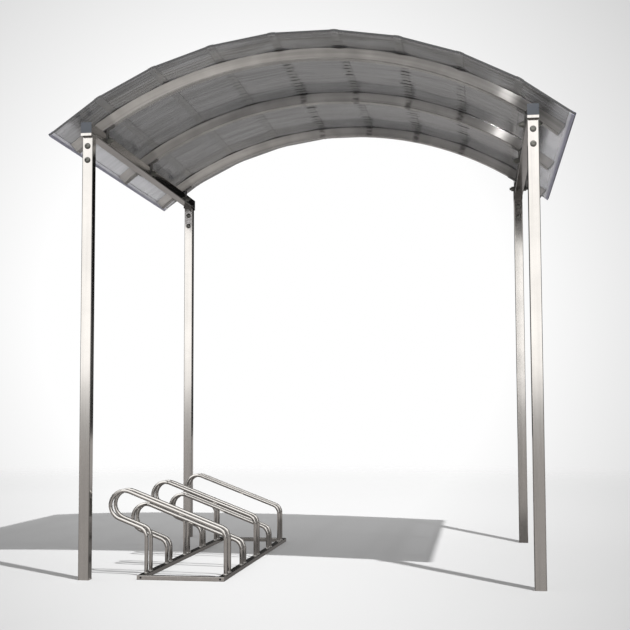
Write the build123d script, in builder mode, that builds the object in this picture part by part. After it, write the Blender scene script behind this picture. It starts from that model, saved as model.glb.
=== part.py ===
"""Open bike shelter of polished square tube with an arched roof of flat panels, and a rack for five wheels.

Millimetres, +Z up, ground at Z = 0. X runs across the arch, Y from the front (negative) to the rear.
The origin lies on the ground, midway between the four posts.
"""
from build123d import *
from math import asin, atan2, cos, degrees, radians, sin, sqrt, tan
import os

# ---------------------------------------------------------------- posts
post_size = 50
post_wall = 3
post_height = 2012
post_spacing_x = 2000
foot_plate_thickness = 5

# ---------------------------------------------------------------- head plates, one on each post
head_plate_reach = 25
head_plate_thickness = 12
spigot_length = 150
spigot_wall = 4
spigot_clearance = 0.5

# ---------------------------------------------------------------- eave beams, front to rear
roof_length = 2150
beam_width = 50
beam_height = 50
beam_wall = 3
cap_flange = 3
cap_plug_length = 20
cap_clearance = 0.3

# ---------------------------------------------------------------- ribs, three rolled tubes across the beams
rib_inset = 255
rib_width = 50
rib_depth = 50
rib_wall = 3
rib_radius = 1820
rib_setback = 24
cope_depth = 14.3
cope_clearance = 0.5

# ---------------------------------------------------------------- brackets that tie the ribs to the beams
bracket_thickness = 4
bracket_width = 30
bracket_foot_clearance = 6
bracket_flange = 42

# ---------------------------------------------------------------- roof of flat twin-wall panels
facet_count = 9
eave_overhang = 176.5
panel_thickness = 10
panel_seat = 0.3
panel_edge_clearance = 0.5

joiner_flange = 18
joiner_thickness = 1.5
joiner_web = 2

eave_flange = 25
eave_thickness = 2

# ---------------------------------------------------------------- corners of the tubes
tube_corner = 4
small_corner = 2
sharpest_corner = 0.5

# ---------------------------------------------------------------- rack, beside the left posts
rack_from_posts = 431
rack_setback = 35
rack_length = 1840
rail_spacing = 370
rail_width = 30
rail_height = 20
rail_wall = 2

holder_count = 5
holder_inset = 150
wheel_slot = 62
hoop_tube = 18
hoop_wall = 1.5
hoop_shoulder = 211
hoop_low_drop = 87
hoop_slope = 21
hoop_loop_radius = 66
hoop_loop_reach = 106
hoop_bend = 50

# ---------------------------------------------------------------- places worked out from the sizes
beam_bottom = post_height + head_plate_thickness
beam_top = beam_bottom + beam_height
post_spacing_y = roof_length - post_size - 2 * head_plate_reach

rib_inner_radius = rib_radius - rib_depth
beam_outside = (post_spacing_x + beam_width) / 2
arc_centre_z = beam_top - cope_depth - sqrt(rib_inner_radius**2 - beam_outside**2)
arch_axis = Axis((0, 0, arc_centre_z), (0, 1, 0))

panel_underside = rib_radius + panel_seat
panel_top = panel_underside + panel_thickness
roof_arc = 2 * degrees(asin((post_spacing_x / 2 + eave_overhang) / panel_top))
facet_angle = roof_arc / facet_count
half_facet = radians(facet_angle / 2)
rib_end_angle = roof_arc / 2 - degrees((rib_setback + cap_flange) / rib_radius)

rack_centre_x = rack_from_posts - post_spacing_x / 2
rack_centre_y = rack_setback + (rack_length - post_spacing_y) / 2
holder_spacing = (rack_length - 2 * holder_inset) / (holder_count - 1)

sides = {"left": -1, "right": 1}
ends = {"front": -1, "rear": 1}
rib_rows = {"front": -1, "middle": 0, "rear": 1}
rib_places = {name: row * (roof_length / 2 - rib_inset) for name, row in rib_rows.items()}


def save(part, name):
    """Label a finished piece and write it as its own STEP file."""
    part.label = name
    export_step(part, f"parts/{name}.step")


def tube_section(width, height, corner, wall):
    """Sketch lines of a rolled tube's wall, for use inside a sketch block."""
    RectangleRounded(width, height, corner)
    tube_bore(width, height, corner, wall, mode=Mode.SUBTRACT)


def tube_bore(width, height, corner, wall, clearance=0, mode=Mode.ADD):
    """Sketch area of a tube's bore, less a clearance all round, for use inside a sketch block."""
    inset = wall + clearance
    RectangleRounded(width - 2 * inset, height - 2 * inset, max(corner - wall, sharpest_corner), mode=mode)


def arch_plane(angle, y=0.0):
    """Plane through the arch's axis: local X runs along Y, local Y points outwards at the angle from up."""
    a = radians(angle)
    return Plane(origin=(0, y, arc_centre_z), x_dir=(0, 1, 0), z_dir=(cos(a), 0, -sin(a)))


def facet_plane(angle, y=0.0):
    """Plane across the arch: local Y points outwards at the angle from up, local X along the facet."""
    a = radians(angle)
    return Plane(origin=(0, y, arc_centre_z), x_dir=(cos(a), 0, -sin(a)), z_dir=(0, -1, 0))


def rib_underside_z(x):
    """Height of the ribs' underside at a distance from the middle of the arch."""
    return arc_centre_z + sqrt(rib_inner_radius**2 - x**2)


# ---------------------------------------------------------------- makers
def make_post(x, y):
    """Square tube post, closed at its foot by a flush plate."""
    with BuildPart() as post:
        with BuildSketch(Plane.XY):
            with Locations((x, y)):
                RectangleRounded(post_size, post_size, tube_corner)
        extrude(amount=post_height)
        with BuildSketch(Plane.XY.offset(foot_plate_thickness)):
            with Locations((x, y)):
                tube_bore(post_size, post_size, tube_corner, post_wall)
        extrude(amount=post_height - foot_plate_thickness, mode=Mode.SUBTRACT)
    return post


def make_head_plate(x, y):
    """Plate that carries the beam, with a hollow spigot that slips into the post."""
    spigot = post_size - 2 * post_wall - 2 * spigot_clearance
    with BuildPart() as plate:
        with BuildSketch(Plane.XY.offset(post_height)):
            with Locations((x, y)):
                Rectangle(beam_width, post_size + 2 * head_plate_reach)
        extrude(amount=head_plate_thickness)
        with BuildSketch(Plane.XY.offset(post_height)):
            with Locations((x, y)):
                tube_section(spigot, spigot, small_corner, spigot_wall)
        extrude(amount=-spigot_length)
    return plate


def make_beam(x):
    """Square tube beam from the front cap to the rear cap."""
    with BuildPart() as beam:
        with BuildSketch(Plane.XZ):
            with Locations((x, beam_bottom + beam_height / 2)):
                tube_section(beam_width, beam_height, tube_corner, beam_wall)
        extrude(amount=roof_length / 2 - cap_flange, both=True)
    return beam


def make_beam_cap(x, end):
    """Push-in cap: a flange flush with the beam's outside and a plug in its bore."""
    centre = (x, beam_bottom + beam_height / 2)
    with BuildPart() as cap:
        with BuildSketch(Plane.XZ.offset(-end * roof_length / 2)):
            with Locations(centre):
                RectangleRounded(beam_width, beam_height, tube_corner)
        extrude(amount=end * cap_flange)
        with BuildSketch(Plane.XZ.offset(-end * (roof_length / 2 - cap_flange))):
            with Locations(centre):
                tube_bore(beam_width, beam_height, tube_corner, beam_wall, cap_clearance)
        extrude(amount=end * cap_plug_length)
    return cap


def make_rib(y):
    """Square tube rolled to the arch, coped over both beams so that it seats flat on them."""
    beams = [(side * post_spacing_x / 2, y) for side in sides.values()]
    with BuildPart() as rib:
        with BuildSketch(arch_plane(-rib_end_angle, y)):
            with Locations((0, rib_radius - rib_depth / 2)):
                tube_section(rib_width, rib_depth, tube_corner, rib_wall)
        revolve(axis=arch_axis, revolution_arc=2 * rib_end_angle)
        with BuildSketch(Plane.XY.offset(beam_bottom)):
            with Locations(*beams):
                Rectangle(beam_width + 2 * cope_clearance, rib_width + 2 * cope_clearance)
        extrude(amount=beam_height, mode=Mode.SUBTRACT)
    return rib


def make_rib_caps():
    """Caps on both ends of every rib."""
    centre = (0, rib_radius - rib_depth / 2)
    with BuildPart() as caps:
        for side in sides.values():
            for y in rib_places.values():
                end_plane = arch_plane(side * rib_end_angle, y)
                with BuildSketch(end_plane):
                    with Locations(centre):
                        RectangleRounded(rib_width, rib_depth, tube_corner)
                extrude(amount=side * cap_flange)
                with BuildSketch(end_plane):
                    with Locations(centre):
                        tube_bore(rib_width, rib_depth, tube_corner, rib_wall, cap_clearance)
                extrude(amount=-side * cap_plug_length)
    return caps


def make_brackets(side):
    """Bent plates, one under each rib: one leg on the beam's inner face, one along the rib's underside."""
    face_x = post_spacing_x / 2 - beam_width / 2
    foot_z = beam_bottom + bracket_foot_clearance
    bend_z = rib_underside_z(face_x)
    turn = bracket_flange / rib_inner_radius
    tip_angle = asin(face_x / rib_inner_radius) - turn
    tip = (rib_inner_radius * sin(tip_angle), arc_centre_z + rib_inner_radius * cos(tip_angle))
    slope = atan2(tip[1] - bend_z, face_x - tip[0])
    inner_bend = (face_x - bracket_thickness, bend_z - bracket_thickness * (1 - sin(slope)) / cos(slope))
    tip_low = (tip[0] - bracket_thickness * sin(slope), tip[1] - bracket_thickness * cos(slope))
    outline = [
        (face_x, foot_z),
        (face_x, bend_z),
        tip,
        tip_low,
        inner_bend,
        (face_x - bracket_thickness, foot_z),
    ]
    with BuildPart() as brackets:
        for y in rib_places.values():
            with BuildSketch(Plane.XZ.offset(-y)):
                with BuildLine():
                    Polyline(*[(side * px, pz) for px, pz in outline], close=True)
                make_face()
            extrude(amount=bracket_width / 2, both=True)
    return brackets


def make_panel(index):
    """Flat twin-wall panel on one facet, trimmed for the joiner or the eave profile at each edge."""
    half_joint = panel_underside * tan(half_facet) - joiner_web / 2 - panel_edge_clearance
    half_eave = panel_top * tan(half_facet) - eave_thickness - panel_edge_clearance
    start = -half_eave if index == 0 else -half_joint
    stop = half_eave if index == facet_count - 1 else half_joint
    with BuildPart() as panel:
        with BuildSketch(facet_plane(facet_middle(index))):
            with Locations(((start + stop) / 2, panel_underside + panel_thickness / 2)):
                Rectangle(stop - start, panel_thickness)
        extrude(amount=roof_length / 2, both=True)
    return panel


def make_joiners():
    """H-profiles that hold two panels each, bent to the angle between them."""
    span_x = joiner_flange * cos(half_facet)
    drop = joiner_flange * sin(half_facet)
    low = panel_underside / cos(half_facet)
    high = panel_top / cos(half_facet)
    thick = joiner_thickness / cos(half_facet)
    with BuildPart() as joiners:
        for index in range(1, facet_count):
            with BuildSketch(facet_plane(facet_middle(index) - facet_angle / 2)):
                for base, step in ((low, -thick), (high, thick)):
                    with BuildLine():
                        Polyline(
                            (-span_x, base - drop),
                            (0, base),
                            (span_x, base - drop),
                            (span_x, base - drop + step),
                            (0, base + step),
                            (-span_x, base - drop + step),
                            close=True,
                        )
                    make_face()
                with Locations((0, (low + high) / 2)):
                    Rectangle(joiner_web, high - low + joiner_thickness)
            extrude(amount=roof_length / 2, both=True)
    return joiners


def make_eave_profile(side):
    """U-profile over the lower edge of the outermost panel."""
    middle = facet_middle(facet_count - 1 if side > 0 else 0)
    edge = panel_top * tan(half_facet)
    outer_width = eave_flange + eave_thickness
    panel_middle = panel_underside + panel_thickness / 2
    with BuildPart() as profile:
        with BuildSketch(facet_plane(middle)):
            with Locations((side * (edge - outer_width / 2), panel_middle)):
                Rectangle(outer_width, panel_thickness + 2 * eave_thickness)
            with Locations((side * (edge - eave_thickness - eave_flange / 2), panel_middle)):
                Rectangle(eave_flange, panel_thickness, mode=Mode.SUBTRACT)
        extrude(amount=roof_length / 2, both=True)
    return profile


def make_rail(x):
    """Rectangular tube rail of the rack, between its front and rear bars."""
    with BuildPart() as rail:
        with BuildSketch(Plane.XZ.offset(-rack_centre_y)):
            with Locations((x, rail_height / 2)):
                tube_section(rail_width, rail_height, small_corner, rail_wall)
        extrude(amount=rack_length / 2 - rail_width, both=True)
    return rail


def make_bar(y):
    """Rectangular tube bar across the rack's end, closed at both of its own ends."""
    half_length = (rail_spacing + rail_width) / 2
    with BuildPart() as bar:
        with BuildSketch(Plane.YZ.offset(rack_centre_x)):
            with Locations((y, rail_height / 2)):
                RectangleRounded(rail_width, rail_height, small_corner)
        extrude(amount=half_length, both=True)
        with BuildSketch(Plane.YZ.offset(rack_centre_x)):
            with Locations((y, rail_height / 2)):
                tube_bore(rail_width, rail_height, small_corner, rail_wall)
        extrude(amount=half_length - rail_wall, both=True, mode=Mode.SUBTRACT)
    return bar


def make_holder(y, shoulder):
    """Two parallel tube hoops with the wheel slot between them."""
    left = rack_centre_x - rail_spacing / 2
    right = rack_centre_x + rail_spacing / 2
    slope = radians(hoop_slope)
    loop_x = left - hoop_loop_reach
    loop_z = shoulder + (right - loop_x) * tan(slope) - hoop_loop_radius / cos(slope)
    upper = (loop_x + hoop_loop_radius * sin(slope), loop_z + hoop_loop_radius * cos(slope))
    lower = (loop_x - hoop_loop_radius * sin(slope), loop_z - hoop_loop_radius * cos(slope))
    tip = (loop_x - hoop_loop_radius * cos(slope), loop_z + hoop_loop_radius * sin(slope))
    left_corner = (left, lower[1] - (left - lower[0]) * tan(slope))
    with BuildPart() as holder:
        for hoop_y in (y - (wheel_slot + hoop_tube) / 2, y + (wheel_slot + hoop_tube) / 2):
            with BuildLine(Plane.XZ.offset(-hoop_y)) as route:
                FilletPolyline((right, rail_height), (right, shoulder), upper, radius=hoop_bend)
                ThreePointArc(upper, tip, lower)
                FilletPolyline(lower, left_corner, (left, rail_height), radius=hoop_bend)
            with BuildSketch(Plane(origin=(right, hoop_y, rail_height), z_dir=(0, 0, 1))):
                Circle(hoop_tube / 2)
                Circle(hoop_tube / 2 - hoop_wall, mode=Mode.SUBTRACT)
            sweep(path=route.wires()[0])
    return holder


def facet_middle(index):
    """Angle from up at the middle of a facet, counted from the left eave."""
    return (index - (facet_count - 1) / 2) * facet_angle


first_holder = rack_centre_y - rack_length / 2 + holder_inset
holder_places = [first_holder + i * holder_spacing for i in range(holder_count)]

# ---------------------------------------------------------------- build and write
os.makedirs("parts", exist_ok=True)

for side_name, side in sides.items():
    beam_x = side * post_spacing_x / 2
    for end_name, end in ends.items():
        post_y = end * post_spacing_y / 2
        save(make_post(beam_x, post_y).part, f"post_{end_name}_{side_name}")
        save(make_head_plate(beam_x, post_y).part, f"head_plate_{end_name}_{side_name}")
        save(make_beam_cap(beam_x, end).part, f"beam_cap_{end_name}_{side_name}")
    save(make_beam(beam_x).part, f"eave_beam_{side_name}")
    save(make_brackets(side).part, f"rib_brackets_{side_name}")
    save(make_eave_profile(side).part, f"eave_profile_{side_name}")
    save(make_rail(rack_centre_x + side * rail_spacing / 2).part, f"rack_rail_{side_name}")

for rib_name, rib_y in rib_places.items():
    save(make_rib(rib_y).part, f"rib_{rib_name}")
save(make_rib_caps().part, "rib_end_caps")

for facet in range(facet_count):
    save(make_panel(facet).part, f"roof_panel_{facet + 1}")
save(make_joiners().part, "roof_joiners")

for end_name, end in ends.items():
    save(make_bar(rack_centre_y + end * (rack_length - rail_width) / 2).part, f"rack_bar_{end_name}")
for number, holder_y in enumerate(holder_places):
    drop = hoop_low_drop if number % 2 else 0
    save(make_holder(holder_y, hoop_shoulder - drop).part, f"wheel_holder_{number + 1}")
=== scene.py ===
"""Looks of the bike shelter: an arched roof of smoky sheet on a stainless-steel frame, with a wheel rack.

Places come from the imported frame, in metres and on its axes: X across the arch, Y from front to rear, Z up.
The roof's arc and the sizes of the small fasteners and welds are given here.
"""

import math
import random

import bmesh
import bpy
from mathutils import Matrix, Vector


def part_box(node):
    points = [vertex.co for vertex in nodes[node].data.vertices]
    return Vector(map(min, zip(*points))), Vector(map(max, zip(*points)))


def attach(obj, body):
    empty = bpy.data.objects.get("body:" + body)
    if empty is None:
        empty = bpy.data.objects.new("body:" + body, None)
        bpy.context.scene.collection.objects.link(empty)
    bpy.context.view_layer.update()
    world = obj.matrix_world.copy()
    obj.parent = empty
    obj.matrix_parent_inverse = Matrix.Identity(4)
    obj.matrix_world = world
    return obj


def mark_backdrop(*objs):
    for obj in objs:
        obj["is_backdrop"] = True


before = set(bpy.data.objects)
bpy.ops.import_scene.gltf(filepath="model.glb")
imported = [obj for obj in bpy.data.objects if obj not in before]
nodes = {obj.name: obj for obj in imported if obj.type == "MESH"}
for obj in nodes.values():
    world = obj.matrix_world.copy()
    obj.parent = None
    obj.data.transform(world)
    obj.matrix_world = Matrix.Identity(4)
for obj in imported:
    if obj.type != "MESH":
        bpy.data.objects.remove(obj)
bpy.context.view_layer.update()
scene = bpy.context.scene

SIDES = {"left": -1, "right": 1}
ENDS = {"front": -1, "rear": 1}
RIBS = ("front", "middle", "rear")
TO_DEGREES = 180 / math.pi


# ---------------------------------------------------------------- places read from the frame
def middle(box, axis):
    """Middle of a box along one axis."""
    return sum(getattr(corner, axis) for corner in box) / 2


beam_low, beam_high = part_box("eave_beam_right")
beam_inner, beam_outer = beam_low.x, beam_high.x
eave_inner, eave_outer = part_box("eave_profile_right")[0].x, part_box("eave_profile_right")[1].x
rib_y = {name: middle(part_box("rib_" + name), "y") for name in RIBS}

FACETS = 9
FACET_ANGLE = math.radians(80.0 / FACETS)
RIB_OUTER_RADIUS = 1.820
arch_axis_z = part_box("rib_middle")[1].z - RIB_OUTER_RADIUS
sheet_top_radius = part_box("roof_panel_5")[1].z - arch_axis_z
facet_length = FACET_ANGLE * RIB_OUTER_RADIUS


# ---------------------------------------------------------------- node graphs
class Graph:
    """Adds nodes and links to one node tree."""

    def __init__(self, tree):
        self.tree = tree
        tree.nodes.clear()

    def node(self, kind, inputs=None, **settings):
        """A new shader node. Each input is a plain value or the output of another node."""
        made = self.tree.nodes.new("ShaderNode" + kind)
        for key, value in settings.items():
            setattr(made, key, value)
        for socket, value in (inputs or {}).items():
            if isinstance(value, bpy.types.NodeSocket):
                self.tree.links.new(value, made.inputs[socket])
            else:
                made.inputs[socket].default_value = value
        return made

    def finish(self, shader, kind="Material"):
        """Connect the shader to the output of a material, a world or a light."""
        output = self.node("Output" + kind)
        self.tree.links.new(shader.outputs[0], output.inputs["Surface"])

    # numbers
    def math(self, operation, *values, clamp=False):
        made = self.node("Math", dict(enumerate(values)), operation=operation)
        made.use_clamp = clamp
        return made.outputs[0]

    def chain(self, operation, first, *others):
        for value in others:
            first = self.math(operation, first, value)
        return first

    def times(self, *values):
        return self.chain("MULTIPLY", *values)

    def plus(self, *values):
        return self.chain("ADD", *values)

    def larger(self, *values):
        return self.chain("MAXIMUM", *values)

    def less(self, value, taken):
        return self.math("SUBTRACT", value, taken)

    def absolute(self, value):
        return self.math("ABSOLUTE", value)

    def hypotenuse(self, first, second):
        return self.math("POWER", self.plus(self.times(first, first), self.times(second, second)), 0.5)

    def span(self, value, start, end, low=0.0, high=1.0, smooth=True):
        """low where value is at start, high where it is at end, clamped on both sides."""
        made = self.node(
            "MapRange",
            {0: value, 1: start, 2: end, 3: low, 4: high},
            interpolation_type="SMOOTHSTEP" if smooth else "LINEAR",
        )
        return made.outputs[0]

    def noise(self, vector, scale, stretch=(1.0, 1.0, 1.0), detail=3.0, rough=0.5):
        mapped = self.node("Mapping", {"Vector": vector, "Scale": stretch})
        made = self.node(
            "TexNoise",
            {"Vector": mapped.outputs[0], "Scale": scale, "Detail": detail, "Roughness": rough},
        )
        return made.outputs[0]

    # vectors
    def split(self, vector):
        return self.node("SeparateXYZ", {0: vector}).outputs

    def unit(self, vector):
        return self.node("VectorMath", {0: vector}, operation="NORMALIZE").outputs[0]

    def normal(self):
        return self.split(self.node("NewGeometry").outputs["Normal"])

    def place(self):
        return self.node("TexCoord").outputs["Object"]

    def arch_place(self):
        """(length along the arch, y, distance from the arch's axis) of the shaded point."""
        x, y, z = self.split(self.place())
        rise = self.less(z, arch_axis_z)
        along = self.times(self.math("ARCTAN2", x, rise), RIB_OUTER_RADIUS)
        return self.node("CombineXYZ", {0: along, 1: y, 2: self.hypotenuse(x, rise)}).outputs[0]

    def facing(self, grain):
        """(how squarely the surface lies to the tube's flats, how far it faces up)."""
        x, y, z = self.normal()
        if grain == "arch":
            rest = self.math("SQRT", self.math("SUBTRACT", 1.0, self.times(y, y), clamp=True))
        else:
            rest = self.larger(self.absolute(x), self.absolute(z))
        return self.larger(self.absolute(y), rest), z

    # colours and shaders
    def mix(self, factor, first, second):
        made = self.node("Mix", {0: factor, 6: first, 7: second}, data_type="RGBA")
        return made.outputs[2]

    def blend(self, factor, first, second):
        return self.node("MixShader", {0: factor, 1: first.outputs[0], 2: second.outputs[0]})

    def bump(self, height, strength, distance):
        return self.node("Bump", {"Strength": strength, "Distance": distance, "Height": height}).outputs[0]


def new_material(name):
    made = bpy.data.materials.new(name)
    made.use_nodes = True
    return made, Graph(made.node_tree)


def tinted(colour, factor=1.0):
    return tuple(c * factor for c in colour) + (1.0,)


BLACK = (0.0, 0.0, 0.0, 1.0)

# scale of the grain's texture on each axis: the small one draws the grain out
GRAIN = {
    "x": (0.02, 1.0, 1.0),
    "y": (1.0, 0.02, 1.0),
    "z": (1.0, 1.0, 0.02),
    "arch": (0.02, 1.0, 1.0),
}

# (start, end) for Graph.span, along Y
AT_FRONT_RIB = (-0.6, -0.7)
BEHIND_FRONT_RIB = (-0.7, -0.4)
ONTO_FRONT_OVERHANG = (-0.80, -0.88)


# ---------------------------------------------------------------- steel
STEEL_GRAIN_DEPTH = 0.0002
RIB_TAIL_FADE = 0.03
RIB_MARK_SLOPE = 6.0
SATIN_TILT = 0.05
SATIN_ROUGHNESS = 0.215
SATIN_ANISOTROPY = -0.816


def steel(name, colour, polish, grain, spread=0.05, relief=0.25, dirt=0.0, metal=1.0, corner=1.0, under=1.0,
          rim=1.0, lined=0.93, brushed=0.0):
    """Stainless steel: fine grain along the tube, faint cloudy smears, a little tarnish, and painted shade.

    polish is the roughness where the steel is cleanest, and spread is how much rougher the smears are.
    relief is the strength of the grain's bump, dirt is how dark the smears are, and metal is how metallic
    the shader is. corner, under and rim are painted shade: how much of the colour is left on rolled corners,
    on undersides and on faces that don't face the front or rear. lined says how much is left in the lines
    along the grain. brushed is the share of a rib's gloss that is brushed along the arch; with it come a
    rib's painted shade at the sheet's joints, its uneven tone and its darker tails.
    """
    made, graph = new_material(name)
    place = graph.arch_place() if grain == "arch" else graph.place()
    lines = graph.noise(place, 900.0, GRAIN[grain], detail=2.0)
    streaks = graph.noise(place, 60.0, GRAIN[grain], detail=3.0)
    clouds = graph.noise(place, 4.5, detail=4.0, rough=0.6)
    shade = graph.mix(graph.span(clouds, 0.3, 0.75), tinted(colour, 0.90 - dirt), tinted(colour))

    # painted shade: the colour is darker on rolled corners and on undersides
    square, up = graph.facing(grain)
    corners = graph.span(square, 0.90, 0.985, corner, 1.0)
    if brushed:
        # a rib's upper corners are kept out of the painted corner shade
        corners = graph.larger(corners, graph.span(up, 0.05, 0.25))
    grain_and_painted_shade = graph.times(graph.span(streaks, 0.30, 0.62, lined, 1.0), corners,
                        graph.span(up, -0.6, -0.9, 1.0, under))
    # painted shade on faces that don't face the front or rear
    if rim < 1.0:
        sideways = graph.absolute(graph.normal()[1])
        grain_and_painted_shade = graph.times(grain_and_painted_shade, graph.span(sideways, 0.10, 0.55, rim, 1.0))
    if brushed:
        grain_and_painted_shade = graph.times(grain_and_painted_shade, rib_tone_and_painted_shade(graph, place))
    # the lines along the grain and the painted shade darken the colour towards black
    shade = graph.mix(grain_and_painted_shade, BLACK, shade)

    rough = graph.plus(graph.span(clouds, 0.25, 0.8, polish + spread, polish),
                       graph.span(lines, 0.3, 0.7, 0.0, spread * 0.6))
    bump = graph.bump(lines, relief, STEEL_GRAIN_DEPTH)
    shader = graph.node(
        "BsdfPrincipled",
        {"Base Color": shade, "Metallic": metal, "Roughness": rough, "Normal": bump},
    )
    if brushed:
        shader = graph.blend(brushed, shader, satin(graph, shade, bump))
    graph.finish(shader)
    return made


def rib_tone_and_painted_shade(graph, place):
    """A rib's tone: painted shade at the sheet's joints, uneven spans, and darker tails past the beams."""
    along, y, radius = graph.split(place)
    distance = joint_distance(graph, along)
    # behind the front rib soft patches of painted shade lie at the joints
    patches = graph.noise(place, 50.0, (0.3, 0.3, 1.6), detail=2.0)
    patch = graph.times(graph.span(distance, 0.026, 0.006), graph.span(patches, 0.35, 0.62, 0.05, 0.62),
                        graph.span(y, *BEHIND_FRONT_RIB))
    # on the front rib painted shade that narrows downwards lies in the upper corner at each joint
    below_corner = graph.times(graph.less(RIB_OUTER_RADIUS, radius), RIB_MARK_SLOPE)
    wedge = graph.times(graph.span(graph.plus(distance, below_corner), 0.052, 0.030, 0.0, 0.65),
                        graph.span(y, *AT_FRONT_RIB))
    # both fade left of the crown and near the right eave
    marks = graph.times(graph.larger(patch, wedge), graph.span(along, -0.5, 0.0),
                        graph.span(along, 0.95, 0.75))
    spans = graph.noise(place, 5.0, (1.0, 0.6, 0.6), detail=2.0)
    tail = graph.span(graph.absolute(along), beam_outer - RIB_TAIL_FADE, beam_outer, 1.0, 0.72)
    return graph.times(graph.less(1.0, marks), graph.span(spans, 0.35, 0.62, 0.80, 1.04), tail)


def satin(graph, shade, bump):
    """A face brushed along the arch: its highlight stretches across the rib."""
    x, _, z = graph.split(graph.place())
    outward = graph.node("CombineXYZ", {0: x, 1: SATIN_TILT, 2: graph.less(z, arch_axis_z)}).outputs[0]
    return graph.node(
        "BsdfAnisotropic",
        {"Color": shade, "Roughness": SATIN_ROUGHNESS, "Anisotropy": SATIN_ANISOTROPY,
         "Tangent": graph.unit(outward), "Normal": bump},
    )


# ---------------------------------------------------------------- roof sheet and profiles
FLUTE_PITCH = 0.010
LADDER_PITCH = 0.057
SHEET_EDGE_STARTS, SHEET_EDGE_FULL = beam_outer + 0.035, beam_outer + 0.085
SHEET_DASH = (0.018, 0.017, 0.016, 1.0)
SHEET_CUT = (0.030, 0.030, 0.032, 1.0)
SHEET_CLEAR = (0.90, 0.90, 0.92, 1.0)
SHADOW_OPACITY = 0.75


def sheet(name, body, see_through, edge_body=None, edge_see_through=None):
    """Smoky twin-wall sheet: flutes along the arch, a cloudy body, a glossy skin, dark marks at the joints.

    Outside the eave beams the outermost panels are clearer, and paler with painted light:
    edge_body and edge_see_through.
    """
    made, graph = new_material(name)
    place = graph.arch_place()
    along, y, _ = graph.split(place)
    wave = graph.math("SINE", graph.times(y, 2 * math.pi / FLUTE_PITCH))
    flute = graph.span(wave, -0.3, 1.0)
    streaks = graph.noise(place, 55.0, (0.025, 1.0, 0.2), detail=4.0, rough=0.6)
    tone = sheet_tone(graph, place, streaks, flute)
    lightness = graph.span(tone, -0.5, 0.5, smooth=False)
    shade = graph.mix(lightness, tinted(body, 0.50), tinted(body, 1.50))
    clearness = see_through
    # painted light: outside the beams the sheet is paler, less so towards the front; it is also clearer there
    if edge_body:
        x, _, _ = graph.split(graph.place())
        edge = graph.times(graph.span(graph.absolute(x), SHEET_EDGE_STARTS, SHEET_EDGE_FULL),
                           graph.span(y, -1.0, -0.3, 0.5, 1.0))
        pale = graph.mix(lightness, tinted(edge_body, 0.85), tinted(edge_body, 1.15))
        shade = graph.mix(edge, shade, pale)
        clearness = graph.span(edge, 0.0, 1.0, see_through, edge_see_through, smooth=False)
    joint_dash = joint_marks(graph, along, y, place)
    shade = graph.mix(joint_dash, shade, SHEET_DASH)
    # the panels' sawn ends face the front and rear
    cut = graph.span(graph.absolute(graph.normal()[1]), 0.85, 0.95)
    shade = graph.mix(cut, shade, SHEET_CUT)

    bump = graph.bump(graph.plus(graph.times(wave, 0.25), graph.times(streaks, 0.8)), 0.06, 0.0006)
    skin = graph.node(
        "BsdfPrincipled",
        {"Base Color": shade, "Roughness": graph.span(streaks, 0.3, 0.7, 0.14, 0.24), "IOR": 1.6,
         "Specular IOR Level": graph.span(joint_dash, 0.0, 1.0, 0.4, 0.0),
         "Coat Weight": graph.less(1.0, joint_dash), "Coat Roughness": 0.10, "Coat IOR": 1.55,
         "Normal": bump, "Coat Normal": bump},
    )
    # the tone also makes the sheet clearer or denser, most of all on the front overhang
    opacity = graph.less(graph.less(1.0, clearness),
                         graph.times(tone, graph.span(y, *ONTO_FRONT_OVERHANG, 0.05, 0.20)))
    denser = graph.plus(graph.times(flute, 0.06), graph.times(joint_dash, 0.2), graph.times(cut, 0.9))
    opacity = graph.math("ADD", opacity, denser, clamp=True)
    shadow_ray = graph.node("LightPath").outputs["Is Shadow Ray"]
    opacity = graph.larger(opacity, graph.times(shadow_ray, SHADOW_OPACITY))
    graph.finish(graph.blend(opacity, graph.node("BsdfTransparent", {"Color": SHEET_CLEAR}), skin))
    return made


def sheet_tone(graph, place, streaks, flute):
    """How light the sheet is, near 0 on average: streaks along the arch, clouds, flutes, painted light."""
    along, y, _ = graph.split(place)
    clouds = graph.noise(place, 5.0, (1.0, 1.5, 1.0), detail=3.0)
    broad = graph.noise(place, 20.0, (0.045, 1.0, 0.2), detail=3.0, rough=0.6)
    tone = graph.plus(graph.span(streaks, 0.30, 0.70, -0.32, 0.32),
                      graph.span(broad, 0.30, 0.70, -0.20, 0.20),
                      graph.span(clouds, 0.3, 0.7, -0.10, 0.10),
                      graph.times(flute, -0.10))
    # streaks are calmer from above and stronger on the front overhang, whose left corner has painted light
    tone = graph.times(tone, graph.span(graph.normal()[2], -0.2, 0.2, 1.0, 0.40),
                       graph.span(y, *ONTO_FRONT_OVERHANG, 1.0, 2.6))
    painted_light_corner = graph.times(graph.span(y, -0.78, -0.88), graph.span(along, 0.0, -0.7, 0.0, 0.26))
    return graph.plus(tone, painted_light_corner)


def joint_distance(graph, along):
    """How far a point lies from the nearest joint between two panels, along the arch."""
    part = graph.math("FRACT", graph.plus(graph.math("DIVIDE", along, facet_length), 0.5))
    return graph.times(graph.math("MINIMUM", part, graph.less(1.0, part)), facet_length)


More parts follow.
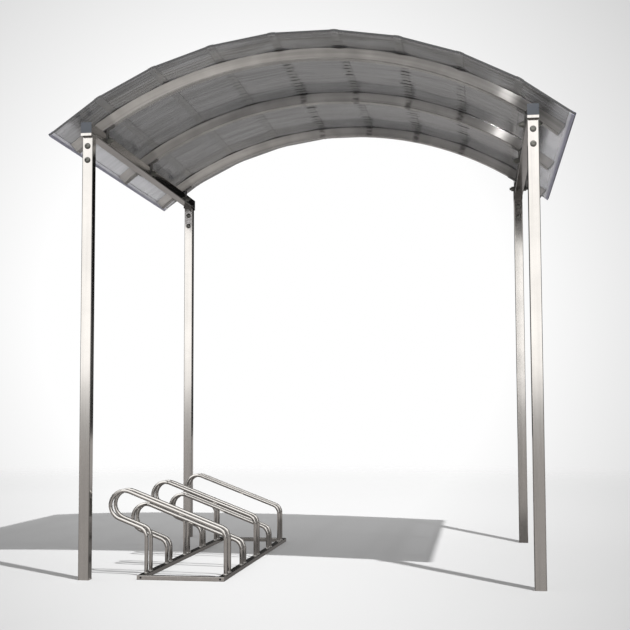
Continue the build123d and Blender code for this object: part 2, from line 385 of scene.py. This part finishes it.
def joint_marks(graph, along, y, place):
    """1 in the short dark dashes that lie across each joint."""
    wander = graph.noise(place, 9.0, (0.3, 1.0, 0.3), detail=2.0)
    rungs = graph.plus(graph.times(y, 2 * math.pi / LADDER_PITCH), graph.times(wander, 7.0))
    ladder = graph.math("SINE", rungs)
    dashes = graph.noise(place, 60.0, (0.10, 1.0, 0.1), detail=2.0, rough=0.6)
    patches = graph.noise(place, 3.3, detail=2.0)
    gaps = graph.noise(place, 26.0, (0.08, 1.0, 0.1), detail=1.0)
    # how far a dash reaches from the joint: longer towards the middle rib
    reach = graph.plus(graph.span(dashes, 0.35, 0.65, 0.004, 0.028),
                       graph.span(patches, 0.35, 0.65, -0.004, 0.006),
                       graph.span(y, -0.65, -0.10, -0.003, 0.008))
    inside = graph.span(graph.less(joint_distance(graph, along), reach), 0.006, -0.006)
    broken = graph.times(graph.span(ladder, 0.0, 0.9, 0.10, 0.95), graph.span(gaps, 0.36, 0.54, 0.30, 0.95))
    # fainter on both overhangs and towards the eaves
    off_overhangs = graph.times(graph.span(y, -0.95, -0.84, 0.40, 1.0), graph.span(y, 0.84, 0.5, 0.5, 1.0))
    off_eaves = graph.times(graph.span(along, -0.75, 0.05, 0.10, 1.0),
                            graph.span(along, 1.1, 0.85, 0.2, 1.0))
    # the dashes are drawn mostly on the underside and only faintly on the top
    underside = graph.span(graph.normal()[2], 0.2, -0.2, 0.12, 1.0)
    return graph.times(inside, broken, underside, off_overhangs, off_eaves)


def joiner_plastic(name):
    """Joining profile between two panels: smoky like them, with dark dashes across it."""
    made, graph = new_material(name)
    place = graph.arch_place()
    along, y, _ = graph.split(place)
    clouds = graph.noise(place, 6.0, detail=2.0)
    marks = joint_marks(graph, along, y, place)
    shade = graph.mix(clouds, (0.145, 0.145, 0.145, 1.0), (0.190, 0.190, 0.190, 1.0))
    shade = graph.mix(marks, shade, (0.012, 0.011, 0.010, 1.0))
    graph.finish(graph.node(
        "BsdfPrincipled",
        {"Base Color": shade, "Roughness": 0.2, "IOR": 1.6,
         "Specular IOR Level": graph.span(marks, 0.0, 1.0, 0.4, 0.0),
         "Coat Weight": graph.less(1.0, marks), "Coat Roughness": 0.12, "Coat IOR": 1.5,
         "Normal": graph.bump(clouds, 0.1, 0.0006)},
    ))
    return made


EAVE_CORNER = (0.085, 0.095, 0.16, 1.0)
EAVE_LIP = (0.62, 0.62, 0.66, 1.0)


def anodised(name, colour):
    """Anodised aluminium: an extruded grain along it, a dark outer corner and a pale inner lip."""
    made, graph = new_material(name)
    place = graph.place()
    lines = graph.noise(place, 500.0, GRAIN["y"], detail=2.0)
    clouds = graph.noise(place, 7.0, detail=3.0)
    across = graph.absolute(graph.split(place)[0])
    outer_corner = graph.span(across, eave_outer - 0.0095, eave_outer - 0.0070)
    lip = graph.span(across, eave_inner + 0.012, eave_inner + 0.008)
    shade = graph.mix(clouds, tinted(colour, 0.88), tinted(colour))
    shade = graph.mix(outer_corner, shade, EAVE_CORNER)
    shade = graph.mix(lip, shade, EAVE_LIP)
    graph.finish(graph.node(
        "BsdfPrincipled",
        {"Base Color": shade, "Metallic": graph.span(lip, 0.0, 1.0, 0.75, 0.1),
         "Roughness": graph.span(lines, 0.3, 0.7, 0.28, 0.4), "Normal": graph.bump(lines, 0.1, 0.0003)},
    ))
    return made


def plastic(name, colour, rough):
    """Moulded plastic: a fine even texture, slightly cloudy."""
    made, graph = new_material(name)
    place = graph.place()
    grain = graph.noise(place, 220.0, detail=3.0)
    clouds = graph.noise(place, 9.0, detail=3.0)
    graph.finish(graph.node(
        "BsdfPrincipled",
        {"Base Color": graph.mix(clouds, tinted(colour, 0.85), tinted(colour, 1.12)),
         "Roughness": graph.span(grain, 0.3, 0.7, rough, rough + 0.1), "IOR": 1.5,
         "Normal": graph.bump(grain, 0.15, 0.0003)},
    ))
    return made


# ---------------------------------------------------------------- finishes
STEEL_BRIGHT = (0.99, 0.957, 0.915)
STEEL_WARM = (0.75, 0.727, 0.70)
STEEL_RIB = (0.90, 0.87, 0.838)
SMOKY = (0.177, 0.177, 0.178)
# the outer panels' paler colour is painted light
SMOKY_EDGE = (0.72, 0.72, 0.73)

post_finish = steel("post_polished_steel", STEEL_BRIGHT, 0.07, "z", relief=0.04, corner=0.55)
beam_finish = steel("beam_polished_steel", STEEL_WARM, 0.09, "y", relief=0.1, corner=0.6)
rib_finish = steel("rib_satin_steel", STEEL_RIB, 0.085, "arch", spread=0.04, relief=0.03, dirt=0.10,
                   metal=0.64, corner=0.68, under=0.72, lined=0.80, brushed=0.20)
bracket_finish = steel("bracket_dull_steel", (0.26, 0.255, 0.25), 0.30, "z", metal=0.9)
rack_finish = steel("rack_polished_steel", STEEL_BRIGHT, 0.07, "y", spread=0.03, relief=0.04, corner=0.45)
hoop_finish = steel("hoop_polished_steel", STEEL_BRIGHT, 0.03, "x", spread=0.02, relief=0.02, rim=0.40)
bolt_finish = steel("bolt_dull_steel", (0.36, 0.36, 0.33), 0.30, "z", dirt=0.2)
screw_finish = steel("screw_blackened_steel", (0.07, 0.07, 0.07), 0.40, "z", dirt=0.2)
weld_finish = steel("weld_brushed_steel", STEEL_WARM, 0.34, "z", relief=0.6, dirt=0.25)
sheet_finish = sheet("sheet_smoky", SMOKY, 0.20)
edge_sheet_finish = sheet("sheet_smoky_edge_painted_light", SMOKY, 0.20, SMOKY_EDGE, 0.50)
joiner_finish = joiner_plastic("joiner_dark_plastic")
eave_finish = anodised("eave_blue_grey_aluminium", (0.56, 0.57, 0.70))
cap_finish = plastic("cap_moulded_plastic", (0.095, 0.105, 0.120), 0.42)
rib_cap_finish = plastic("rib_cap_moulded_plastic", (0.20, 0.20, 0.20), 0.42)
washer_finish = plastic("washer_rubber", (0.05, 0.05, 0.052), 0.55)

# a node takes the finish of the longest of these starts that fits its name
FINISHES = {
    "post": post_finish,
    "head": post_finish,
    "beam": cap_finish,
    "eave_beam": beam_finish,
    "rib": rib_finish,
    "rib_end": rib_cap_finish,
    "rib_brackets": bracket_finish,
    "roof_panel": sheet_finish,
    "roof_joiners": joiner_finish,
    "eave_profile": eave_finish,
    "rack": rack_finish,
    "wheel_holder": hoop_finish,
}
EDGE_PANELS = ("roof_panel_1", "roof_panel_9")


def finish_for(name):
    if name in EDGE_PANELS:
        return edge_sheet_finish
    fitting = [start for start in FINISHES if name.startswith(start)]
    return FINISHES[max(fitting, key=len)]


for name, node in nodes.items():
    for slot in node.material_slots:
        slot.material = finish_for(name)


# ---------------------------------------------------------------- pieces built in mesh code
def make_piece(name, mesh, finish, angle=32.0):
    """Turn the mesh into a piece; edges sharper than the angle, in degrees, stay sharp."""
    data = bpy.data.meshes.new(name)
    bmesh.ops.recalc_face_normals(mesh, faces=mesh.faces)
    mesh.to_mesh(data)
    mesh.free()
    data.polygons.foreach_set("use_smooth", [True] * len(data.polygons))
    data.set_sharp_from_angle(angle=math.radians(angle))
    made = bpy.data.objects.new(name, data)
    scene.collection.objects.link(made)
    data.materials.append(finish)
    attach(made, "root")
    return made


def turned(mesh, profile, origin, axis, segments=24):
    """A turned or hexagonal part: profile runs from the middle of its foot to the middle of its top.

    An entry is (radius, height), or (half the width across flats, height, "hex").
    """
    turn = Vector((0, 0, 1)).rotation_difference(Vector(axis)).to_matrix()
    origin = Vector(origin)
    rings = []
    for entry in profile:
        radius, height = entry[:2]
        if radius == 0:
            rings.append([mesh.verts.new(origin + turn @ Vector((0, 0, height)))])
            continue
        ring = []
        for step in range(segments):
            angle = 2 * math.pi * step / segments
            reach = radius
            if len(entry) == 3:
                reach = radius / math.cos(angle % (math.pi / 3) - math.pi / 6)
            offset = Vector((reach * math.cos(angle), reach * math.sin(angle), height))
            ring.append(mesh.verts.new(origin + turn @ offset))
        rings.append(ring)
    for low, high in zip(rings, rings[1:]):
        for step in range(segments):
            after = (step + 1) % segments
            corners = []
            # a ring of one vertex makes triangles
            for ring, index in ((low, step), (low, after), (high, after), (high, step)):
                vert = ring[index % len(ring)]
                if vert not in corners:
                    corners.append(vert)
            mesh.faces.new(corners)


BEAD_LEG = 0.0034
BEAD_INTO_TUBE = -0.0006
BEAD_INTO_RAIL = -0.0004
BEAD_UNEVENNESS = 0.10


def weld_bead(mesh, centre, radius, steps):
    """An uneven fillet of weld round a standing tube, lying on the flat under it."""
    rows = []
    start = random.uniform(0, 2 * math.pi)
    for step in range(steps):
        angle = start + 2 * math.pi * step / steps
        leg = BEAD_LEG * (1.0 + random.uniform(-BEAD_UNEVENNESS, BEAD_UNEVENNESS))
        section = ((BEAD_INTO_TUBE, BEAD_INTO_RAIL), (leg, BEAD_INTO_RAIL), (leg * 0.72, leg * 0.42),
                   (leg * 0.34, leg * 0.80), (BEAD_INTO_TUBE, leg))
        row = []
        for out, up in section:
            row.append(mesh.verts.new((centre[0] + (radius + out) * math.cos(angle),
                                       centre[1] + (radius + out) * math.sin(angle), centre[2] + up)))
        rows.append(row)
    for step in range(steps):
        here, after = rows[step], rows[(step + 1) % steps]
        for i in range(len(here)):
            j = (i + 1) % len(here)
            mesh.faces.new((here[i], after[i], after[j], here[j]))


# profiles for turned()
BUTTON_HEAD = ((0.0, -0.001), (0.0138, -0.001), (0.0140, 0.0012), (0.0134, 0.0032), (0.0114, 0.0056),
               (0.0086, 0.0070), (0.0060, 0.0075), (0.0052, 0.0072, "hex"), (0.0050, 0.0034, "hex"),
               (0.0, 0.0032))
DOME_NUT = ((0.0, -0.001), (0.0095, -0.001, "hex"), (0.0095, 0.0080, "hex"), (0.0088, 0.0090),
            (0.0086, 0.0120), (0.0074, 0.0154), (0.0054, 0.0178), (0.0028, 0.0190), (0.0, 0.0194))
WASHER = ((0.0, -0.0005), (0.0145, -0.0005), (0.0148, 0.0), (0.0148, 0.0024), (0.0144, 0.0028),
          (0.0, 0.0028))
NUT_AND_TAIL = ((0.0, 0.0015), (0.0112, 0.0020, "hex"), (0.0118, 0.0028, "hex"), (0.0118, 0.0140, "hex"),
                (0.0108, 0.0152, "hex"), (0.0078, 0.0154), (0.0076, 0.0230), (0.0066, 0.0246),
                (0.0, 0.0248))
SCREW = ((0.0, -0.0004), (0.0046, -0.0004), (0.0048, 0.0002), (0.0044, 0.0012), (0.0026, 0.0018),
         (0.0022, 0.0017, "hex"), (0.0021, 0.0006, "hex"), (0.0, 0.0005))
ROOF_SCREW = ((0.0, -0.0005), (0.0060, 0.0, "hex"), (0.0062, 0.0008, "hex"), (0.0062, 0.0042, "hex"),
              (0.0050, 0.0052, "hex"), (0.0, 0.0053))
SEALING_WASHER = ((0.0, -0.0005), (0.0096, -0.0005), (0.0098, 0.0006), (0.0088, 0.0016),
                  (0.0062, 0.0022), (0.0, 0.0022))

# bolts through the posts into the spigots of the head plates
POST_BOLT_HEIGHTS = (1.969, 1.904)
for end in ENDS:
    for side in SIDES:
        low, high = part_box(f"post_{end}_{side}")
        heads, nuts = bmesh.new(), bmesh.new()
        for height in POST_BOLT_HEIGHTS:
            turned(heads, BUTTON_HEAD, ((low.x + high.x) / 2, low.y, height), (0, -1, 0))
            turned(nuts, DOME_NUT, ((low.x + high.x) / 2, high.y, height), (0, 1, 0))
        make_piece(f"post_bolts_{end}_{side}", heads, bolt_finish)
        make_piece(f"post_nuts_{end}_{side}", nuts, bolt_finish)

# bolts through each bracket and beam, with a nut on both sides
BRACKET_THICKNESS = 0.004
BEAM_BOLT_HEIGHT = 2.042
for side, sign in SIDES.items():
    bolts = bmesh.new()
    for y in rib_y.values():
        inside = (sign * (beam_inner - BRACKET_THICKNESS), y, BEAM_BOLT_HEIGHT)
        outside = (sign * beam_outer, y, BEAM_BOLT_HEIGHT)
        for foot, facing in ((inside, -sign), (outside, sign)):
            for profile in (WASHER, NUT_AND_TAIL):
                turned(bolts, profile, foot, (facing, 0, 0))
    make_piece(f"beam_bolts_{side}", bolts, bolt_finish)

# small flat screws in the faces of the rack's end bars
SCREW_INSET = 0.018
for end, facing in ENDS.items():
    low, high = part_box(f"rack_bar_{end}")
    screws = bmesh.new()
    for x in (low.x + SCREW_INSET, high.x - SCREW_INSET):
        turned(screws, SCREW, (x, low.y if facing < 0 else high.y, (low.z + high.z) / 2), (0, facing, 0))
    make_piece(f"rack_screws_{end}", screws, screw_finish)

# screws with sealing washers through the sheet into the ribs; on the crown they are sunk into the sheet
LAST_FACET = FACETS // 2
CROWN_SINK = 0.0062
ROOF_SCREW_OFFSET = 0.075
SCREW_OVER_SHEET = 0.0018
for rib, y in rib_y.items():
    screws, washers = bmesh.new(), bmesh.new()
    for facet in range(-LAST_FACET, LAST_FACET + 1):
        lean = facet * FACET_ANGLE
        up = Vector((math.sin(lean), 0.0, math.cos(lean)))
        across = Vector((math.cos(lean), 0.0, -math.sin(lean)))
        for offset in (-ROOF_SCREW_OFFSET, ROOF_SCREW_OFFSET):
            # the outermost facets have none on their eave side
            if abs(facet) == LAST_FACET and offset * facet > 0:
                continue
            base = Vector((0.0, y, arch_axis_z)) + up * sheet_top_radius + across * offset
            if facet == 0:
                base -= up * CROWN_SINK
            turned(washers, SEALING_WASHER, base, up)
            turned(screws, ROOF_SCREW, base + up * SCREW_OVER_SHEET, up)
    make_piece(f"roof_screws_{rib}", screws, bolt_finish)
    make_piece(f"roof_washers_{rib}", washers, washer_finish)

# weld beads where the hoops stand on the rails
HOOPS = 5
HOOP_RADIUS = 0.009
BEAD_STEPS = 40
random.seed(5)
rail_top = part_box("rack_rail_left")[1].z
rail_x = [middle(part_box("rack_rail_" + side), "x") for side in SIDES]
for number in range(1, HOOPS + 1):
    low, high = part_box(f"wheel_holder_{number}")
    beads = bmesh.new()
    for x in rail_x:
        for y in (low.y + HOOP_RADIUS, high.y - HOOP_RADIUS):
            weld_bead(beads, (x, y, rail_top), HOOP_RADIUS, BEAD_STEPS)
    make_piece(f"hoop_welds_{number}", beads, weld_finish, angle=60.0)


# ---------------------------------------------------------------- floor, background and reflections
def stage_mesh(name, corners, faces, finish):
    data = bpy.data.meshes.new(name)
    data.from_pydata(corners, [], faces)
    made = bpy.data.objects.new(name, data)
    scene.collection.objects.link(made)
    data.materials.append(finish)
    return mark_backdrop(made) or made


WHITE = (1.0, 1.0, 1.0, 1.0)
FLOOR_REACH = 90.0
FLOOR_PAINT = 0.80
GLOSSY_FLOOR = (0.290, 0.277, 0.270, 1.0)

# painted light on the floor and the background: how it falls off beside a fixed line through the shelter,
# by degrees from it
FALLOFF_EYE = Vector((0.750, -6.534, 0.732))
FALLOFF_AXIS = Vector((-0.1587, 0.9840, 0.0815)).normalized()
FALLOFF_START, FALLOFF_END, FALLOFF_LOW = 10.7, 20.7, 0.66
FALLOFF_RISE, FALLOFF_FAR, FALLOFF_FAR_LEVEL = 24.0, 50.0, 0.84

# (start, end) for Graph.span on Light Path's Glossy Depth: low in a first reflection, high in a second
SECOND_REFLECTION = (1.4, 1.6)


def painted_light_falloff(graph, direction):
    """Painted light: 1 along a fixed line through the shelter, falling softly to a pale grey beside it."""
    lined_up = graph.node("VectorMath", {0: direction, 1: FALLOFF_AXIS}, operation="DOT_PRODUCT")
    angle = graph.times(graph.math("ARCCOSINE", lined_up.outputs["Value"]), TO_DEGREES)
    near = graph.span(angle, FALLOFF_START, FALLOFF_END, 1.0, FALLOFF_LOW, smooth=False)
    wide = graph.span(angle, FALLOFF_RISE, FALLOFF_FAR, FALLOFF_LOW, FALLOFF_FAR_LEVEL)
    return graph.larger(near, wide)


def floor_material():
    """Pale paint with painted light; reflections see a grey floor instead,
    with painted shade beneath the shelter and close behind it.
    """
    made, graph = new_material("floor_pale")
    point = graph.place()
    x, y, _ = graph.split(point)
    reach = graph.hypotenuse(x, y)
    rays = graph.node("LightPath").outputs

    # the paint carries painted light that falls off beside a fixed line
    toward = graph.node("VectorMath", {0: point, 1: FALLOFF_EYE}, operation="SUBTRACT").outputs[0]
    falloff = graph.larger(painted_light_falloff(graph, graph.unit(toward)), graph.less(1.0, rays["Is Camera Ray"]))
    # the lamp reaches the rear and left less squarely, so the paint is a little paler there
    paler = graph.span(graph.less(y, x), -4.0, 8.0, FLOOR_PAINT - 0.04, FLOOR_PAINT + 0.08, smooth=False)
    tone = graph.times(falloff, paler)
    grey = graph.node("CombineColor", {0: tone, 1: tone, 2: tone}).outputs[0]
    paint = graph.node("BsdfDiffuse", {"Color": grey})
    # far out the floor gives way to the pale background behind it
    far = graph.times(graph.span(reach, 5.0, 13.0), rays["Is Camera Ray"])
    paint = graph.blend(far, paint, graph.node("BsdfTransparent"))

    # painted shade in reflections of the floor, beneath the shelter and close behind it
    under_roof = graph.times(graph.span(graph.absolute(x), 1.6, 1.0), graph.span(y, -1.00, -0.96),
                             graph.span(y, 2.6, 1.6))
    close_behind = graph.times(graph.span(y, 1.5, 3.0), graph.span(reach, 8.0, 5.0, 0.0, 0.25))
    level = graph.times(graph.span(reach, 12.0, 40.0, 1.0, 1.3),
                        graph.span(rays["Glossy Depth"], *SECOND_REFLECTION, 1.0, 0.24),
                        graph.less(1.0, close_behind),
                        graph.span(under_roof, 0.0, 1.0, 1.0, 0.42))
    mirrored = graph.node("Emission", {"Color": GLOSSY_FLOOR, "Strength": level})
    graph.finish(graph.blend(rays["Is Glossy Ray"], paint, mirrored))
    return made


stage_mesh(
    "floor",
    [(-FLOOR_REACH, -FLOOR_REACH, 0), (FLOOR_REACH, -FLOOR_REACH, 0), (FLOOR_REACH, FLOOR_REACH, 0),
     (-FLOOR_REACH, FLOOR_REACH, 0)],
    [(0, 1, 2, 3)],
    floor_material(),
)

# a ring of pale and dark cards far out, which only reflections see
CARD_RADIUS = 40.0
CARD_HEIGHT = 48.0
CARD_SIDES = 96
EYE_HEIGHT = 0.73
CARD_LIGHT = (1.0, 0.99, 0.98, 1.0)
STRIP_ANGLE, STRIP_LEVEL = 128.0, 0.90
DARK_LEVEL = 0.12


def card_material():
    """Pale in front, overhead and in a strip on each side towards the rear, nearly black elsewhere.

    All angles are in degrees.
    """
    made, graph = new_material("reflection_cards")
    x, y, z = graph.split(graph.place())
    off_front = graph.absolute(graph.times(graph.math("ARCTAN2", x, graph.times(y, -1.0)), TO_DEGREES))
    slope = graph.math("DIVIDE", graph.less(z, EYE_HEIGHT), CARD_RADIUS)
    elevation = graph.times(graph.math("ARCTANGENT", slope), TO_DEGREES)
    depth = graph.node("LightPath").outputs["Glossy Depth"]

    front = graph.times(graph.span(off_front, 40.0, 32.0), graph.span(elevation, 26.0, 17.0, 0.36, 1.06))
    off_strip = graph.absolute(graph.less(off_front, STRIP_ANGLE))
    strip = graph.times(graph.span(off_strip, 12.0, 6.0), STRIP_LEVEL)
    behind = graph.times(graph.span(off_front, 148.0, 156.0), graph.span(elevation, 2.0, 9.0, 0.60, 0.97))
    horizon = graph.span(elevation, -0.4, 2.6, 0.30, 1.0)
    above = graph.span(elevation, 30.0, 52.0, 0.0, 0.9)
    high_front = graph.times(graph.span(off_front, 80.0, 55.0),
                             graph.span(elevation, 22.0, 30.0, 0.0, 1.25),
                             graph.span(depth, *SECOND_REFLECTION, 1.0, 0.0))
    level = graph.times(graph.larger(front, strip, DARK_LEVEL), graph.less(1.0, behind), horizon)
    level = graph.times(graph.larger(level, above, high_front),
                        graph.span(depth, *SECOND_REFLECTION, 1.0, 0.20))
    graph.finish(graph.node("Emission", {"Color": CARD_LIGHT, "Strength": level}))
    made.cycles.emission_sampling = "NONE"
    return made


turns = [2 * math.pi * i / CARD_SIDES for i in range(CARD_SIDES)]
ring = [(CARD_RADIUS * math.sin(turn), -CARD_RADIUS * math.cos(turn), z)
        for z in (0.0, CARD_HEIGHT) for turn in turns]
ring_faces = [(i, (i + 1) % CARD_SIDES, CARD_SIDES + (i + 1) % CARD_SIDES, CARD_SIDES + i)
              for i in range(CARD_SIDES)]
cards = stage_mesh("reflection_cards", ring, ring_faces, card_material())
cards.visible_camera = False
cards.visible_diffuse = False
cards.visible_transmission = False
cards.visible_volume_scatter = False
cards.visible_shadow = False

# the world is pale to the camera, with painted light falling off beside a fixed line,
# white to reflected and refracted rays, and a weaker fill as light
FILL = 0.50
world = bpy.data.worlds.new("studio")
scene.world = world
world.use_nodes = True
graph = Graph(world.node_tree)
rays = graph.node("LightPath").outputs
view_direction = graph.unit(graph.node("TexCoord").outputs["Generated"])
seen = graph.times(rays["Is Camera Ray"], painted_light_falloff(graph, view_direction))
strength = graph.larger(rays["Is Glossy Ray"], rays["Is Transmission Ray"], seen, FILL)
graph.finish(graph.node("Background", {"Color": WHITE, "Strength": strength}), "World")

# ---------------------------------------------------------------- lamps
LAMP_RADIUS = 0.10
SPOT_COLOUR = (1.0, 0.96, 0.90)
RIB_SPOT_PLACE = Vector((-5.5, -9.0, 0.8))


def steady_lamp(name, kind, place, level, share=1.0):
    """A lamp whose light doesn't weaken with distance.

    A low share keeps a strong lamp weak, so that it is sampled often without being bright.
    """
    lamp = bpy.data.lights.new(name, kind)
    lamp.energy = level
    lamp.shadow_soft_size = LAMP_RADIUS
    lamp.use_nodes = True
    graph = Graph(lamp.node_tree)
    steady = graph.node("LightFalloff", {"Strength": share}).outputs["Constant"]
    graph.finish(graph.node("Emission", {"Strength": steady}), "Light")
    made = bpy.data.objects.new(name, lamp)
    scene.collection.objects.link(made)
    made.location = place
    return made


def shine_on_ribs(lamp_object, ribs):
    """The lamp reaches these ribs and nothing else, also through the sheet."""
    lamp_object.data.use_shadow = False
    lit = bpy.data.collections.new(lamp_object.name + "_reaches")
    for rib in ribs:
        lit.objects.link(nodes["rib_" + rib])
    lamp_object.light_linking.receiver_collection = lit


def rib_spot(name, aim, cone, level, ribs):
    """A soft warm spot from the left that brightens the left part of these ribs. cone is in degrees."""
    made = steady_lamp(name, "SPOT", RIB_SPOT_PLACE, level)
    made.data.color = SPOT_COLOUR
    made.data.spot_size = math.radians(cone)
    made.data.spot_blend = 1.0
    made.rotation_mode = "QUATERNION"
    made.rotation_quaternion = (Vector(aim) - RIB_SPOT_PLACE).to_track_quat("-Z", "Y")
    made.visible_glossy = False
    shine_on_ribs(made, ribs)


# the main lamp stands high in front on the right
steady_lamp("lamp", "POINT", (4.3, -5.7, 11.4), 35.0).visible_glossy = False

# one only makes the highlights on the brushed ribs
rib_highlight = steady_lamp("rib_highlight", "POINT", (5.5, -11.75, 13.5), 100.0, share=0.11)
rib_highlight.visible_diffuse = False
shine_on_ribs(rib_highlight, ("front", "middle"))

rib_spot("rib_spot_front", (-0.92, -0.6, 2.12), 20.5, 34.5, ("front",))
rib_spot("rib_spot_rear", (-1.25, 0.4, 2.0), 11.0, 27.0, ("middle", "rear"))

# ---------------------------------------------------------------- camera at the photo's viewpoint
CAMERA_PLACE = (0.750, -6.534, 0.732)
CAMERA_TILT, CAMERA_TURN = 4.478, 10.0445

camera = bpy.data.cameras.new("camera")
camera.lens = 71.96
camera.sensor_width = 36.0
camera.shift_x = 0.096
camera.shift_y = 0.004
camera_object = bpy.data.objects.new("camera", camera)
scene.collection.objects.link(camera_object)
camera_object.location = CAMERA_PLACE
camera_object.rotation_euler = (math.radians(90 + CAMERA_TILT), 0.0, math.radians(CAMERA_TURN))
scene.camera = camera_object
scene.view_settings.view_transform = "Standard"
